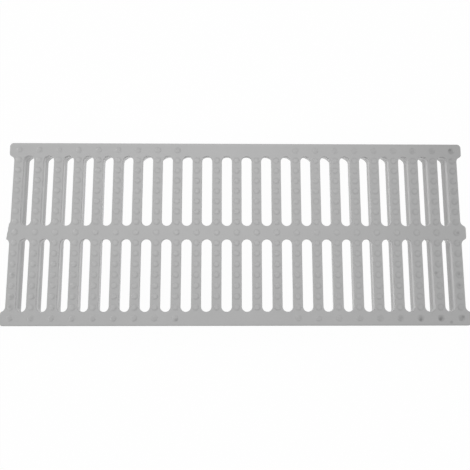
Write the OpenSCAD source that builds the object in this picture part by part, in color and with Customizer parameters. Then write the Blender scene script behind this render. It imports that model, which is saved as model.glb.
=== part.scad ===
// Drain channel grate, moulded in one piece from filled polymer.
// Three long rails are joined by cross bars, with a row of round-ended
// slots on each side of the middle rail and low grip studs on the walked face.
// Millimetres. X runs along the channel, Y across it, Z up.
// The origin is the middle of the underside.

/* [Overall] */
// Length along the channel
grate_l = 500; // [470:1:530]
// Width across the channel
grate_w = 199; // [194:1:220]
// Height from the underside to the walked face, without the studs
plate_h = 24.4; // [20:0.1:30]
// Rounding of the rail ends, seen from above
tip_r = 4; // [2:0.5:5]
// Broken edge round the outside of the walked face
rim_break = 0.8; // [0.4:0.1:1.5]

/* [Slots] */
// Cross bars, evenly spaced
bar_count = 23; // [21:2:23]
// Narrowest width of a slot
slot_w = 11; // [9:0.5:12]
// Length of a slot where it is narrowest
slot_l = 77.5; // [70:0.5:80]
// Depth of the lip, from the walked face down to the narrowest place
lip_h = 3; // [2:0.25:6]
// How much the lip leans back on each side
lip_lean = 0.3; // [0.2:0.05:0.8]
// Broken edge at the top of the lip
lip_break = 0.3; // [0.2:0.05:0.8]
// How much a slot widens on each side from its narrowest place to the underside
slot_flare = 4; // [2:0.1:4.4]
// How much it lengthens at each end from its narrowest place to the underside
end_flare = 5.8; // [4.6:0.1:6]

/* [Grip studs] */
// Diameter at the foot
stud_d = 6.8; // [5:0.1:7.5]
// Diameter of the flat top
stud_top_d = 4.4; // [3:0.1:4.9]
// Height above the walked face
stud_h = 0.6; // [0.4:0.1:1.5]
// Distance between studs along a bar
stud_pitch = 11.45; // [9:0.05:11.5]
// Studs along a bar, from rail to rail
stud_rows = 17; // [13:2:17]
// Bars at the middle of the grate whose outer rails stay bare
bare_bars = 5; // [1:2:9]

/* [Broken tip] */
// What the left end of the middle rail has lost at its front corner
chip_front = 2.2; // [0:0.1:3]
// What it has lost at its back corner
chip_back = 4.4; // [0:0.1:5]

/* [Hidden] */
$fn = 48;
over = 1;
slot_rows = 2;
slot_pitch = grate_l / bar_count;
rail_w = (grate_w - slot_rows * slot_l) / (slot_rows + 1);
row_pitch = slot_l + rail_w;
slot_r = slot_w / 2;
slot_straight = slot_l - slot_w;
mouth_r = slot_r + lip_lean + lip_break;
lip_z = plate_h - lip_h;
end_room = slot_r + 2 * end_flare;
chip_y = (rail_w + tip_r) / 2;
stud_root = 0.5;
stud_slope = (stud_d - stud_top_d) / 2 / stud_h;

// Foot of a wall that opens downwards by the given amount between the lip and the underside
function wall_foot(flare) = [slot_r + flare * (1 + over / lip_z), -over];

// Half the section across a slot: a broken edge, a leaning lip, then a wall that opens downwards
function slot_profile(flare) = [
    [0, -over],
    wall_foot(flare),
    [slot_r, lip_z],
    [slot_r + lip_lean, plate_h - lip_break],
    [mouth_r + over, plate_h + over],
    [0, plate_h + over],
];

// The side wall carried past the round end, and clear of it above the narrowest place
function side_profile() = [
    [0, -over],
    wall_foot(slot_flare),
    [slot_r, lip_z],
    [mouth_r + 2 * over, lip_z],
    [mouth_r + 2 * over, plate_h + 2 * over],
    [0, plate_h + 2 * over],
];

module both_halves(points) {
    polygon(points);
    mirror([1, 0]) polygon(points);
}

// The end wall opens further than the side walls, and meets them in two creases.
module slot_end() {
    intersection() {
        rotate_extrude(angle = 180) polygon(slot_profile(end_flare));
        translate([0, end_room, 0]) rotate([90, 0, 0])
            linear_extrude(2 * end_room) both_halves(side_profile());
    }
}

// One round-ended slot, as the solid that is taken away
module slot() {
    translate([0, slot_straight / 2, 0]) rotate([90, 0, 0])
        linear_extrude(slot_straight) both_halves(slot_profile(slot_flare));
    for (side = [0, 180])
        rotate([0, 0, side]) translate([0, slot_straight / 2, 0]) slot_end();
}

// Every slot of both rows. The first and last of a row are cut in half by the ends of the grate.
module slots() {
    for (row = [0 : slot_rows - 1], i = [0 : bar_count])
        translate([(i - bar_count / 2) * slot_pitch, (row - (slot_rows - 1) / 2) * row_pitch, 0])
            slot();
}

// The rounding of a rail end where it meets the half slot beside it, as the corner that is taken away.
// The rounding touches the end of the grate and the round end of the slot.
module tip_corner() {
    reach = sqrt((slot_r + tip_r) ^ 2 - tip_r ^ 2);
    share = slot_r / (slot_r + tip_r);
    difference() {
        polygon([
            [over, -slot_r + over],
            [over, -reach],
            [0, -reach],
            [-tip_r * share, -reach * share],
            [-tip_r * share / 2, -slot_r + over],
        ]);
        translate([-tip_r, -reach]) circle(tip_r);
    }
}

module tip_corners() {
    for (end = [0, 1], row = [0 : slot_rows - 1], side = [0, 1])
        mirror([end, 0]) translate([grate_l / 2, (row - (slot_rows - 1) / 2) * row_pitch])
            mirror([0, side]) translate([0, -slot_straight / 2]) tip_corner();
}

// Outline of the grate from above, with its four outer corners and all rail ends rounded
module outline() {
    difference() {
        union() {
            square([grate_l - 2 * tip_r, grate_w], center = true);
            square([grate_l, grate_w - 2 * tip_r], center = true);
            for (x = [-1, 1], y = [-1, 1])
                translate([x * (grate_l / 2 - tip_r), y * (grate_w / 2 - tip_r)]) circle(tip_r);
        }
        tip_corners();
    }
}

// What is missing from the left end of the middle rail
module chip() {
    translate([-grate_l / 2, 0]) polygon([
        [-over, -chip_y],
        [chip_front, -chip_y],
        [chip_back, chip_y],
        [-over, chip_y],
    ]);
}

// Upright section of the given width, with a broken edge along the walked face
module rim_section(w) {
    polygon([
        [-w / 2, -over],
        [w / 2, -over],
        [w / 2, plate_h - rim_break],
        [w / 2 - rim_break, plate_h],
        [-w / 2 + rim_break, plate_h],
        [-w / 2, plate_h - rim_break],
    ]);
}

module plate() {
    intersection() {
        linear_extrude(plate_h) difference() {
            outline();
            chip();
        }
        rotate([90, 0, 90]) translate([0, 0, -grate_l / 2 - over])
            linear_extrude(grate_l + 2 * over) rim_section(grate_w);
        rotate([90, 0, 0]) translate([0, 0, -grate_w / 2 - over])
            linear_extrude(grate_w + 2 * over) rim_section(grate_l);
    }
}

module stud() {
    translate([0, 0, plate_h - stud_root])
        cylinder(
            h = stud_root + stud_h,
            d1 = stud_d + 2 * stud_slope * stud_root,
            d2 = stud_top_d
        );
}

// One row of studs runs along every bar and on across the three rails.
// The outer rails carry none at the bars in the middle of the grate.
module studs() {
    last = (stud_rows - 1) / 2;
    for (i = [0 : bar_count - 1], j = [-last : last])
        let (bar = i - (bar_count - 1) / 2)
            if (abs(j) < last || abs(bar) > bare_bars / 2)
                translate([bar * slot_pitch, j * stud_pitch, 0]) stud();
}

module grate() {
    color([0.69, 0.69, 0.69]) {
        difference() {
            plate();
            slots();
        }
        studs();
    }
}

grate();
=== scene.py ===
import math
import random

import bmesh
import bpy
from mathutils import Euler, Matrix, Vector, noise

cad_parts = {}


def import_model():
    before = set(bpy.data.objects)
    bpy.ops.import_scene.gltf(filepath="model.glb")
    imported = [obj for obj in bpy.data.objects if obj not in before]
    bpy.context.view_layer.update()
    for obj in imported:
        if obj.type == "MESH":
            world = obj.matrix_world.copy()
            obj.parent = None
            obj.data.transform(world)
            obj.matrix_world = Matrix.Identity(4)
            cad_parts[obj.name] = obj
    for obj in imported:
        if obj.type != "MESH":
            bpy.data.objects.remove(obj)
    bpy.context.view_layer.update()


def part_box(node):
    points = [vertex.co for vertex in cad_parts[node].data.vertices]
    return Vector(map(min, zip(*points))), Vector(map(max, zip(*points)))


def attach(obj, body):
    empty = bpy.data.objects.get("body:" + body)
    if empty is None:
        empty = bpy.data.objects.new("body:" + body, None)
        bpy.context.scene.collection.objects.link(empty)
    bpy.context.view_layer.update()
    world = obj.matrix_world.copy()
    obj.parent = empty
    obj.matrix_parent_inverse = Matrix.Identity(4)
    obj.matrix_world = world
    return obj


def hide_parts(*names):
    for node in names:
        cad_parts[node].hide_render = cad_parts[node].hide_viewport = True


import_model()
mm = 0.001

low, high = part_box("grate")

grate = {  # the moulding, in millimetres; its length, width and height come from the grate's box in model.glb
    "bars": 23,
    "slotWidth": 11.0,  # where a slot is narrowest
    "slotLength": 77.5,
    "lipDepth": 3.0,  # from the walked face down to the narrowest place
    "lipLean": 0.15,
    "mouthRadius": 0.3,  # between the walked face and the lip
    "waist": 0.3,  # the narrowest place is softened this far up and down
    "sideFlare": 4.3,  # from the narrowest place down to the underside
    "endFlare": 5.8,
    "slotSteps": 8,  # in a quarter of a slot's round end
    "tipRadius": 4.0,  # of the rail ends and the outer corners, seen from above
    "tipSteps": 8,
    "cornerSteps": 7,
    "rimRadius": 0.8,  # round the walked face
    "rimSteps": 3,
    "footBreak": 0.25,  # along every edge of the underside
    "sharpFrom": 38,  # degrees between two faces; flatter edges are shaded smooth
}

studs = {  # the grip studs, in millimetres
    "foot": 6.8,  # diameter
    "top": 4.4,
    "height": 0.6,
    "pitch": 11.45,  # along a bar
    "rows": 17,
    "bareBars": 5,  # in the middle of the grate, where the outer rails have none
    "sides": 18,
    "widths": (0.96, 1.02),  # they differ a little, in parts of the full size
    "heights": (0.75, 1.0),
    "seed": 7,
}

brokenTip = {  # left end of the middle rail, in millimetres
    "front": 2.2,
    "back": 4.4,
    "roughness": 0.5,
    "lumps": (260, 700),  # large and small ones, how many to the metre
    "cuts": 18,
}

length, width = high.x - low.x, high.y - low.y
plateTop = high.z - low.z - studs["height"] * mm
pitch = length / grate["bars"]
studPitch = studs["pitch"] * mm
slotWidth, slotLength = grate["slotWidth"] * mm, grate["slotLength"] * mm
slotRadius = slotWidth / 2
slotStraight = slotLength - slotWidth
railWidth = (width - 2 * slotLength) / 3
rowPitch = slotLength + railWidth
lipZ = plateTop - grate["lipDepth"] * mm
tipRadius = grate["tipRadius"] * mm
rimRadius = grate["rimRadius"] * mm
# from the centre of a slot's round end across to the centre of the rail end's rounding beside it
tipReach = math.sqrt((slotRadius + tipRadius) ** 2 - tipRadius ** 2)
past = 1 * mm  # how far a cutting tool stands out of the moulding


def pieceFrom(bm, name):
    mesh = bpy.data.meshes.new(name)
    bm.to_mesh(mesh)
    bm.free()
    piece = bpy.data.objects.new(name, mesh)
    bpy.context.scene.collection.objects.link(piece)
    return piece


def nextRing(bm, ring, place):  # extrudes a loop of edges and moves its new points
    grown = bmesh.ops.extrude_edge_only(bm, edges=ring)["geom"]
    verts = [part for part in grown if isinstance(part, bmesh.types.BMVert)]
    for vert in verts:
        vert.co = place(vert.co)
    new = set(verts)
    return [part for part in grown if isinstance(part, bmesh.types.BMEdge) and set(part.verts) <= new]


def closeEnds(bm):
    bmesh.ops.holes_fill(bm, edges=[edge for edge in bm.edges if edge.is_boundary], sides=0)
    bmesh.ops.recalc_face_normals(bm, faces=bm.faces)


def bevel(bm, geom, size, steps, affect="EDGES"):
    bmesh.ops.bevel(bm, geom=geom, offset=size, offset_type="OFFSET", segments=steps, profile=0.5,
                    affect=affect, material=-1)


def loft(bm, levels, ringAt):  # carries the bmesh's one loop through the levels and closes both ends
    start = ringAt(*levels[0])
    for vert in bm.verts:
        vert.co = start(vert.co)
    ring = bm.edges[:]
    for level in levels[1:]:
        ring = nextRing(bm, ring, ringAt(*level))
    closeEnds(bm)


def repeated(tool, places, name):  # one tool with a copy at each place, instead of the single one
    bm = bmesh.new()
    for place in places:
        before = len(bm.verts)
        bm.from_mesh(tool.data)
        bm.verts.ensure_lookup_table()
        bmesh.ops.transform(bm, matrix=place, verts=bm.verts[before:])
    bmesh.ops.recalc_face_normals(bm, faces=bm.faces)  # a mirrored copy is inside out until then
    bpy.data.objects.remove(tool)
    return pieceFrom(bm, name)


def cut(piece, tool, operation):
    step = piece.modifiers.new(operation, "BOOLEAN")
    step.object, step.operation, step.solver = tool, operation, "MANIFOLD"
    mesh = bpy.data.meshes.new_from_object(piece.evaluated_get(bpy.context.evaluated_depsgraph_get()))
    piece.modifiers.clear()
    piece.data = mesh
    bpy.data.objects.remove(tool)


# Slots

def slotWall():
    # height, and how far the side wall and the end wall stand back there from the narrowest place
    radius, waist, foot = grate["mouthRadius"] * mm, grate["waist"] * mm, grate["footBreak"] * mm
    lean = grate["lipLean"] / (grate["lipDepth"] - 1.5 * grate["mouthRadius"])
    slope = math.atan2(1, lean)  # of the lip, from level
    mouth = lean * grate["lipDepth"] * mm + radius * math.tan(slope / 2)
    wall = [(plateTop + 0.3 * mm, mouth + 2 * mm)]  # clear of the walked face, and wider than the mouth
    for share in (0.16, 0.44, 0.72, 1.0):  # round the mouth
        turn = share * slope
        wall.append((plateTop - radius * (1 - math.cos(turn)), mouth - radius * math.sin(turn)))
    wall.append((lipZ + waist, waist * lean + 0.01 * mm))
    wall = [(height, out, out) for height, out in wall]
    for drop, extra in ((waist, 0), (lipZ - foot, 0), (lipZ, foot), (lipZ + past, 2 * foot)):
        side = grate["sideFlare"] * mm * drop / lipZ + extra
        end = grate["endFlare"] * mm * drop / lipZ + extra
        wall.append((lipZ - drop, side, end))
    return wall


def slotTool():
    bm = bmesh.new()
    bmesh.ops.create_grid(bm, x_segments=1, y_segments=1, size=0.5)
    bmesh.ops.scale(bm, vec=(slotWidth, slotLength, 1), verts=bm.verts)
    bevel(bm, bm.verts[:], slotRadius, grate["slotSteps"], "VERTICES")
    bmesh.ops.remove_doubles(bm, verts=bm.verts, dist=0.01 * mm)
    bmesh.ops.delete(bm, geom=bm.faces[:], context="FACES_ONLY")
    longEdges = [edge for edge in bm.edges if edge.calc_length() > slotStraight / 2]
    bmesh.ops.subdivide_edges(bm, edges=longEdges, cuts=5)

    def ringAt(height, side, end):
        def place(co):
            axis = Vector((0, max(-slotStraight / 2, min(slotStraight / 2, co.y)), 0))
            out = Vector((co.x, co.y, 0)) - axis
            out.normalize()
            reach = slotRadius + end
            if abs(out.x) > 1e-6:  # the nearer of the two walls, which meet in a crease
                reach = min(reach, (slotRadius + side) / abs(out.x))
            return axis + out * reach + Vector((0, 0, height))
        return place

    loft(bm, slotWall(), ringAt)
    return pieceFrom(bm, "slotTool")


def slotTools():
    places = []
    for row in (-0.5, 0.5):
        for i in range(grate["bars"] + 1):
            places.append(Matrix.Translation(((i - grate["bars"] / 2) * pitch, row * rowPitch, 0)))
    return repeated(slotTool(), places, "slotTools")


# Rail tips

def tipTool():
    # the corner outside the rounding of a rail's end, up to the end of the grate and into the half slot
    turn = math.asin(tipReach / (slotRadius + tipRadius))  # the rounding ends where it touches the slot
    side, end = tipReach - slotRadius + past, tipRadius + past
    bm = bmesh.new()
    spot = bm.verts.new((tipRadius, 0, 0))
    bmesh.ops.spin(bm, geom=[spot], cent=(0, 0, 0), axis=(0, 0, 1), angle=turn, steps=grate["tipSteps"])
    arc = list(bm.verts)
    corners = ((tipRadius * 0.3, side, 0), (end, side, 0), (end, 0, 0))
    loop = [arc[-1], *[bm.verts.new(corner) for corner in corners], arc[0]]
    for a, b in zip(loop, loop[1:]):
        bm.edges.new((a, b))

    def ringAt(height, back):
        def place(co):
            flat = Vector((co.x, co.y, 0))
            if flat.length < tipRadius + 0.01 * mm:  # a point of the rounding
                flat = flat * ((tipRadius - back) / flat.length)
            return flat + Vector((0, 0, height))
        return place

    # how far down and how far back, in parts of the rim's radius
    rim = ((1, 0), (0.62, 0.08), (0.29, 0.29), (0.06, 0.65))
    levels = [(plateTop - drop * rimRadius, back * rimRadius) for drop, back in rim]
    loft(bm, [(-past, 0), *levels, (plateTop + past, 2 * rimRadius)], ringAt)
    return pieceFrom(bm, "tipTool")


def tipTools():
    places = []
    for end in (1, -1):
        for row in (-0.5, 0.5):
            for side in (1, -1):
                across = row * rowPitch - side * (slotStraight / 2 + tipReach)
                centre = Matrix.Translation((end * (length / 2 - tipRadius), across, 0))
                places.append(centre @ Matrix.Diagonal((end, side, 1, 1)))
    return repeated(tipTool(), places, "tipTools")


def brokenTipTool():
    # a block whose inner face is the broken surface
    bm = bmesh.new()
    reach = railWidth + tipRadius
    bmesh.ops.create_grid(bm, x_segments=brokenTip["cuts"], y_segments=brokenTip["cuts"], size=0.5)
    bmesh.ops.rotate(bm, matrix=Matrix.Rotation(math.radians(90), 3, "Y"), verts=bm.verts)
    bmesh.ops.scale(bm, vec=(1, reach, plateTop + 4 * past), verts=bm.verts)
    front, back = brokenTip["front"] * mm, brokenTip["back"] * mm
    large, small = brokenTip["lumps"]
    for vert in bm.verts:
        share = vert.co.y / reach + 0.5
        rough = noise.noise(vert.co * large) + 0.5 * noise.noise(vert.co * small)
        vert.co.x = front + (back - front) * share + brokenTip["roughness"] * mm * rough
        vert.co.z += plateTop / 2
    edge = [e for e in bm.edges if e.is_boundary]
    nextRing(bm, edge, lambda co: Vector((-2 * past, co.y, co.z)))
    closeEnds(bm)
    bmesh.ops.translate(bm, vec=(-length / 2, 0, 0), verts=bm.verts)
    return pieceFrom(bm, "brokenTipTool")


# Plate and studs

def plate():
    bm = bmesh.new()
    bmesh.ops.create_cube(bm, size=1)
    bmesh.ops.scale(bm, vec=(length, width, plateTop), verts=bm.verts)
    bmesh.ops.translate(bm, vec=(0, 0, plateTop / 2), verts=bm.verts)
    upright = [edge for edge in bm.edges if abs(edge.verts[0].co.z - edge.verts[1].co.z) > plateTop / 2]
    bevel(bm, upright, tipRadius, grate["cornerSteps"])
    foot = grate["footBreak"] * mm
    for height, size, steps in ((plateTop, rimRadius, grate["rimSteps"]), (0, foot, 1)):
        rim = [edge for edge in bm.edges if all(abs(vert.co.z - height) < 1e-6 for vert in edge.verts)]
        bevel(bm, rim, size, steps)
    bmesh.ops.recalc_face_normals(bm, faces=bm.faces)
    return pieceFrom(bm, "moulding")


def studTool():
    foot, top, tall = studs["foot"] / 2 * mm, studs["top"] / 2 * mm, studs["height"] * mm
    dome = [  # radius, and height above the walked face
        (foot + 0.5 * mm, -0.3 * mm),
        (foot + 0.12 * mm, 0.02 * tall),
        (foot - 0.35 * mm, 0.24 * tall),
        (top + 0.1 * mm, 0.76 * tall),
        (top - 0.6 * mm, tall),
    ]
    bm = bmesh.new()
    bmesh.ops.create_circle(bm, cap_ends=False, segments=studs["sides"], radius=foot)

    def ringAt(radius, height):
        def place(co):
            flat = Vector((co.x, co.y, 0))
            return flat * (radius / flat.length) + Vector((0, 0, height))
        return place

    loft(bm, dome, ringAt)
    return pieceFrom(bm, "studTool")


def studTools():
    draw = random.Random(studs["seed"])
    lastBar, lastRow = grate["bars"] // 2, studs["rows"] // 2
    places = []
    for bar in range(-lastBar, lastBar + 1):
        for row in range(-lastRow, lastRow + 1):
            wide, tall = draw.uniform(*studs["widths"]), draw.uniform(*studs["heights"])
            if abs(row) < lastRow or abs(bar) > studs["bareBars"] / 2:
                spot = Matrix.Translation((bar * pitch, row * studPitch, plateTop))
                places.append(spot @ Matrix.Diagonal((wide, wide, tall, 1)))
    return repeated(studTool(), places, "studTools")


def moulding():
    piece = plate()
    cut(piece, slotTools(), "DIFFERENCE")
    cut(piece, tipTools(), "DIFFERENCE")
    cut(piece, brokenTipTool(), "DIFFERENCE")
    cut(piece, studTools(), "UNION")
    piece.data.name = "moulding"
    piece.data.shade_smooth()
    piece.data.set_sharp_from_angle(angle=math.radians(grate["sharpFrom"]))
    weighted = piece.modifiers.new("evenNormals", "WEIGHTED_NORMAL")
    weighted.keep_sharp, weighted.weight = True, 100
    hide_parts("grate")
    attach(piece, "root")
    print("moulding:", len(piece.data.polygons), "faces")
    return piece


# Material

class Value:  # a socket that takes part in sums
    def __init__(self, maker, socket):
        self.maker, self.socket = maker, socket

    def sum(self, operation, *others):
        return self.maker.node("ShaderNodeMath", {"operation": operation}, [self, *others])

    def __add__(self, other):
        return self.sum("ADD", other)

    def __sub__(self, other):
        return self.sum("SUBTRACT", other)

    def __rsub__(self, other):
        return self.maker.node("ShaderNodeMath", {"operation": "SUBTRACT"}, [other, self])

    def __mul__(self, other):
        return self.sum("MULTIPLY", other)

    __radd__, __rmul__ = __add__, __mul__

    def other(self, output):  # another output of the same node
        return Value(self.maker, self.socket.node.outputs[output])

    def rise(self, start, end):  # 0 before start, 1 after end, smooth between; end may be the smaller
        if start > end:
            return 1 - self.rise(end, start)
        smooth = {"interpolation_type": "SMOOTHSTEP"}
        return self.maker.node("ShaderNodeMapRange", smooth, [self, start, end])

    def zone(self, name, base=0.0):  # one of the finish's zones, set off from the base
        start, end = polymer["zones"][name]
        return self.rise(base + start * mm, base + end * mm)


class Maker:
    def __init__(self, owner):  # a material or a world
        owner.use_nodes = True
        self.tree = owner.node_tree
        self.tree.nodes.clear()

    def node(self, kind, settings=None, values=None, out=0):
        made = self.tree.nodes.new(kind)
        for name, value in (settings or {}).items():
            setattr(made, name, value)
        pairs = values.items() if isinstance(values, dict) else enumerate(values or [])
        for name, value in pairs:
            if isinstance(value, Value):
                self.tree.links.new(value.socket, made.inputs[name])
            else:
                made.inputs[name].default_value = value
        return Value(self, made.outputs[out]) if len(made.outputs) else made

    def noise(self, place, scale, detail):
        return self.node("ShaderNodeTexNoise", {}, {"Vector": place, "Scale": scale, "Detail": detail})


polymer = {
    "grey": (0.43, 0.43, 0.43, 1),
    # patterns, as how many to the metre and how much detail
    "cloud": (1 / 0.024, 3.0),
    "fleck": (1 / 0.0022, 2.0),
    "grain": (1800, 1.0),
    "grime": (90, 2.0),
    "blotch": (48, 1.0),
    # how much lighter or darker, in parts of the grey
    "cloudChange": 0.07,
    "fleckChange": 0.035,
    "paintedLipLight": 0.09,  # painted light: the upper slot walls are painted a little lighter than the walked face
    # painted light on the slot walls just below the narrowest place
    "paintedUnderLipLight": 0.2,
    "studTopHighlight": 0.03,  # painted highlight: the stud tops are painted a little lighter
    # painted light along the back edge, which faces the light
    "paintedBackEdgeLight": 0.04,
    "creaseShadeAndGrime": 0.09,  # painted shade and some grime in the crease round each stud
    "paintedEndShade": 0.07,  # painted shade: the walked face is painted darker towards its right end, where less light falls
    "studDirtDark": 0.2,
    # painted shade along the front edge, which faces away from the light
    "paintedFrontEdgeShade": 0.09,
    "cornerDark": 0.09,  # at the back right corner
    "speckDark": 0.22,
    "dirt": {  # how dirty the studs are
        "outerRails": 0.33,
        "outerRight": 0.25,  # added to that at the right end
        "frontRight": 0.5,  # and on the front rail
        "frontLeft": 0.2,
        "rightEnd": 0.4,
    },
    # bits of dirt on the walked face, in millimetres
    "specks": [
        (228, -95.9), (241, -90), (216.3, -92.6), (195.3, -93.4), (238.9, -44.9), (214.2, -43.5),
        (238.8, -56.6), (240.4, 0), (237.6, 92.8), (-64.1, -93), (-238.3, -45.2), (-238.6, -68.9),
        (-238.9, -79.3),
    ],
    "speckSize": (2.4, 0.6),  # radius of the faint edge and of the dark middle, in millimetres
    # roughness and bumps
    "faceRoughness": 0.5,
    "fleckRoughness": 0.12,  # how much it changes over the walked face
    "lipRoughness": 0.28,
    "wallRoughness": 0.25,
    "bumpStrength": 0.35,
    "bumpDepth": 0.0006,  # metres
    "bumpMix": {"cloud": 0.5, "fleck": 0.25, "grain": 0.06},
    "slotBumps": 0.08,  # share of them that the smoother slots show
    # where each zone starts and where it is full, in millimetres
    "zones": {
        # heights, from the walked face
        "face": (-0.9, -0.5),
        "bumps": (-0.12, -0.02),
        # heights, from the slots' narrowest place
        "underLip": (1, -2),
        "slotWall": (-6, -12),
        # from the middle of the end bars, and from the long sides
        "endWall": (-0.3, 0.3),
        "sideWall": (-0.9, -0.2),
        "frontEdge": (1.8, 0.6),
        "backEdge": (-3.5, -1.5),
        # along the grate, from its middle
        "notFarLeft": (-240, -200),
        "left": (-60, -120),
        "notRight": (150, 50),
        "right": (120, 200),
        "rightFace": (100, 260),
        "rightFront": (100, 160),
        "rightCreases": (80, 200),
        "rightStuds": (170, 235),
        "rightCorner": (170, 250),
        # across the grate, from its middle
        "backCorner": (10, 100),
        "frontHalf": (20, 0),
        "outerRail": (85, 87),
        # from the middle of a stud
        "creaseStart": (1.8, 2.9),
        "creaseEnd": (4.5, 3.3),
        "studTop": (2.2, 0.8),
        "studDirt": (4.4, 1),
    },
}


def polymerMaterial():
    material = bpy.data.materials.new("greyPolymer")
    make = Maker(material)
    place = make.node("ShaderNodeTexCoord", out=3)
    x = make.node("ShaderNodeSeparateXYZ", {}, [place])
    y, z = x.other("Y"), x.other("Z")
    fromMiddle, fromAxis = x.sum("ABSOLUTE"), y.sum("ABSOLUTE")

    # the walked face, the walls outside and low in the slots, and the upper part of the slots
    face = z.zone("face", plateTop)
    endWall = fromMiddle.zone("endWall", (length - pitch) / 2)
    sideWall = fromAxis.zone("sideWall", width / 2)
    outside = endWall.sum("MAXIMUM", sideWall) * (1 - face)
    wall = z.zone("slotWall", lipZ).sum("MAXIMUM", outside)
    lip = (1 - face) * (1 - wall)

    # the crease round each stud repeats with the bars and the studs
    acrossBar = x.sum("WRAP", pitch / 2, -pitch / 2)
    alongBar = y.sum("WRAP", studPitch / 2, -studPitch / 2)
    apart = (acrossBar * acrossBar + alongBar * alongBar).sum("SQRT")
    bare = studs["bareBars"] / 2 * pitch
    outer = fromAxis.zone("outerRail")
    studded = face * (1 - outer * fromMiddle.rise(bare + 0.1 * pitch, bare))
    crease = apart.zone("creaseStart") * apart.zone("creaseEnd")
    top = apart.zone("studTop")

    # dirt held by the studs, most of it on the outer rails and at the right end of the front one
    dirt = polymer["dirt"]
    front = x.zone("rightFront") * dirt["frontRight"] + x.zone("left") * dirt["frontLeft"]
    rails = y.zone("frontHalf") * front + x.zone("right") * dirt["outerRight"] + dirt["outerRails"]
    dirty = outer * rails + x.zone("rightStuds") * dirt["rightEnd"]

    cloud = make.noise(place, *polymer["cloud"])
    fleck = make.noise(place, *polymer["fleck"])
    grain = make.noise(place, *polymer["grain"])
    grime = make.noise(place, *polymer["grime"]).rise(0.35, 0.65)
    blotch = make.noise(place, *polymer["blotch"]).rise(0.3, 0.7)

    shade = (cloud - 0.5) * polymer["cloudChange"] + (fleck - 0.5) * polymer["fleckChange"] + 1.0
    uneven = (cloud - 0.5) * 1.2 + 1.0
    # painted shade, darker towards the right end of the walked face
    shade = shade - x.zone("rightFace") * face * uneven * polymer["paintedEndShade"]
    # painted light on the slot walls below the narrowest place, except in the far left slot
    shade = shade + lip * z.zone("underLip", lipZ) * x.zone("notFarLeft") * polymer["paintedUnderLipLight"]
    # painted highlight on the tops of the cleaner studs
    # painted light on the upper slot walls
    shade = shade + lip * polymer["paintedLipLight"] + top * studded * (1 - dirty) * polymer["studTopHighlight"]
    # painted shade and some grime in the crease round each stud, patchy and heavier towards the right
    creaseGrimeAndShade = x.zone("rightCreases") * 0.4 + grime * 0.5 + 0.5
    creaseGrimeAndShade = creaseGrimeAndShade * (1 - outer * 0.5)  # half as much on the outer rails
    shade = shade - crease * studded * creaseGrimeAndShade * polymer["creaseShadeAndGrime"]
    spots = blotch * 0.4 + fleck * 0.6 + 0.3  # the dirt is patchy
    shade = shade - apart.zone("studDirt") * studded * dirty * spots * polymer["studDirtDark"]
    # painted shade along the front edge of the walked face
    shade = shade - y.zone("frontEdge", -width / 2) * face * polymer["paintedFrontEdgeShade"]
    shade = shade - x.zone("rightCorner") * y.zone("backCorner") * face * polymer["cornerDark"]
    # painted light along the back edge, except at the right end
    shade = shade + y.zone("backEdge", width / 2) * x.zone("notRight") * polymer["paintedBackEdgeLight"]
    edge, middle = polymer["speckSize"]
    for across, along in polymer["specks"]:
        spot = (across * mm, along * mm, plateTop)
        away = make.node("ShaderNodeVectorMath", {"operation": "DISTANCE"}, [place, spot], out=1)
        shade = shade - away.rise(edge * mm, middle * mm) * polymer["speckDark"]
    tint = make.node("ShaderNodeCombineColor", {}, [shade, shade, shade])
    multiply = {"data_type": "RGBA", "blend_type": "MULTIPLY", "clamp_result": True}
    colour = make.node("ShaderNodeMix", multiply, {0: 1.0, 6: polymer["grey"], 7: tint}, out=2)

    roughness = face * polymer["faceRoughness"] + (fleck - 0.5) * face * polymer["fleckRoughness"]
    roughness = roughness + lip * polymer["lipRoughness"] + wall * polymer["wallRoughness"]
    mix = polymer["bumpMix"]
    relief = (cloud - 0.5) * mix["cloud"] + (fleck - 0.5) * mix["fleck"] + (grain - 0.5) * mix["grain"]
    relief = relief * (z.zone("bumps", plateTop) * (1 - polymer["slotBumps"]) + polymer["slotBumps"])
    normal = make.node("ShaderNodeBump", {}, {
        "Strength": polymer["bumpStrength"],
        "Distance": polymer["bumpDepth"],
        "Height": relief,
    })
    finish = {"Base Color": colour, "Roughness": roughness, "Normal": normal}
    shader = make.node("ShaderNodeBsdfPrincipled", {}, finish)
    make.node("ShaderNodeOutputMaterial", {}, {"Surface": shader})
    return material


# Floor, light and camera

paleFloor = {
    "grey": (0.8, 0.8, 0.8, 1),
    "reach": 6,  # metres from the middle to each side
    "gap": 0.02,  # millimetres under the grate
    "glow": 0.45,  # it lights the part from below, as a light table does
    "seenGlow": 0.53,  # added to that where it is seen
}
white = (1, 1, 1, 1)


def seenDirectly(make):  # 1 for what the camera sees, in gloss and through glass too
    path = make.node("ShaderNodeLightPath")
    seen = path.other("Is Camera Ray")
    for ray in ("Is Glossy Ray", "Is Transmission Ray"):
        seen = seen.sum("MAXIMUM", path.other(ray))
    return seen


def floor():
    bm = bmesh.new()
    bmesh.ops.create_grid(bm, x_segments=1, y_segments=1, size=paleFloor["reach"])
    bmesh.ops.translate(bm, vec=(0, 0, low.z - paleFloor["gap"] * mm), verts=bm.verts)
    piece = pieceFrom(bm, "floor")
    material = bpy.data.materials.new("paleFloor")
    make = Maker(material)
    matt = make.node("ShaderNodeBsdfDiffuse", {}, {"Color": paleFloor["grey"]})
    lit = make.node("ShaderNodeEmission", {}, {"Color": white, "Strength": 1.0})
    glow = seenDirectly(make) * paleFloor["seenGlow"] + paleFloor["glow"]
    mixed = make.node("ShaderNodeMixShader", {}, {0: glow, 1: matt, 2: lit})
    make.node("ShaderNodeOutputMaterial", {}, {"Surface": mixed})
    piece.data.materials.append(material)


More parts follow.
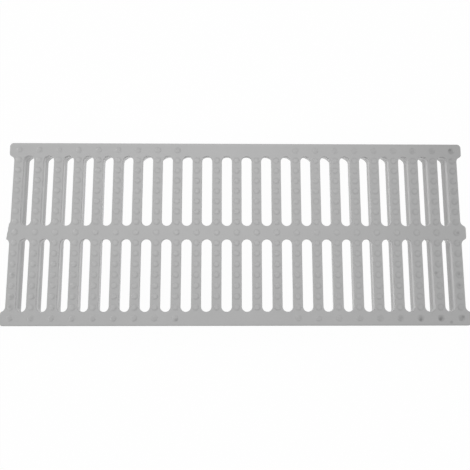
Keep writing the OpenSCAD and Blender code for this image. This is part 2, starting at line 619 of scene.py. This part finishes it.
# turn and rise in degrees, distance and size in metres, and share of the light on a level face
lights = {
    "backLeftLight": {"turn": 152, "rise": 26, "away": 3.0, "size": 1.0, "share": 0.185},
    "backRightLight": {"turn": 28, "rise": 26, "away": 3.0, "size": 1.0, "share": 0.14},
    "frontLeftLight": {"turn": 207, "rise": 26, "away": 3.0, "size": 1.0, "share": 0.165},
    "frontRightLight": {"turn": 333, "rise": 26, "away": 3.0, "size": 1.0, "share": 0.14},
    "overheadLight": {"turn": 108, "rise": 74, "away": 0.6, "size": 0.35, "share": 0.242},
}
worldShare = 0.08


def softLight(name, light):
    turn, rise = math.radians(light["turn"]), math.radians(light["rise"])
    level = math.cos(rise)
    place = Vector((level * math.cos(turn), level * math.sin(turn), math.sin(rise))) * light["away"]
    lamp = bpy.data.lights.new(name, "AREA")
    lamp.shape, lamp.size = "SQUARE", light["size"]
    lamp.energy = light["share"] * (math.pi * light["away"]) ** 2 / math.sin(rise)
    piece = bpy.data.objects.new(name, lamp)
    piece.location = place
    piece.rotation_euler = (-place).to_track_quat("-Z", "Y").to_euler()
    piece.visible_camera = False
    bpy.context.scene.collection.objects.link(piece)


def world():
    made = bpy.data.worlds.new("studio")
    bpy.context.scene.world = made
    make = Maker(made)
    soft = make.node("ShaderNodeBackground", {}, {"Color": white, "Strength": worldShare})
    seen = make.node("ShaderNodeBackground", {}, {"Color": white, "Strength": 1.0})
    mixed = make.node("ShaderNodeMixShader", {}, {0: seenDirectly(make), 1: soft, 2: seen})
    make.node("ShaderNodeOutputWorld", {}, {"Surface": mixed})


photoCamera = {  # place and focal length in millimetres, turn in degrees
    "place": (-8.4, -67.0, 518.7),
    "turn": (7.4, -0.744, -0.029),
    "focal": 35.3,
    "sensor": 36,
    "nearest": 10,
}


def camera():
    made = bpy.data.cameras.new("camera")
    made.lens, made.sensor_width = photoCamera["focal"], photoCamera["sensor"]
    made.clip_start = photoCamera["nearest"] * mm
    piece = bpy.data.objects.new("camera", made)
    piece.location = Vector(photoCamera["place"]) * mm
    piece.rotation_euler = Euler([math.radians(angle) for angle in photoCamera["turn"]])
    bpy.context.scene.collection.objects.link(piece)
    bpy.context.scene.camera = piece


piece = moulding()
piece.data.materials.clear()
piece.data.materials.append(polymerMaterial())
print("material done")
floor()
for name, light in lights.items():
    softLight(name, light)
world()
camera()
bpy.context.scene.view_settings.view_transform = "Standard"
print("light and camera done")
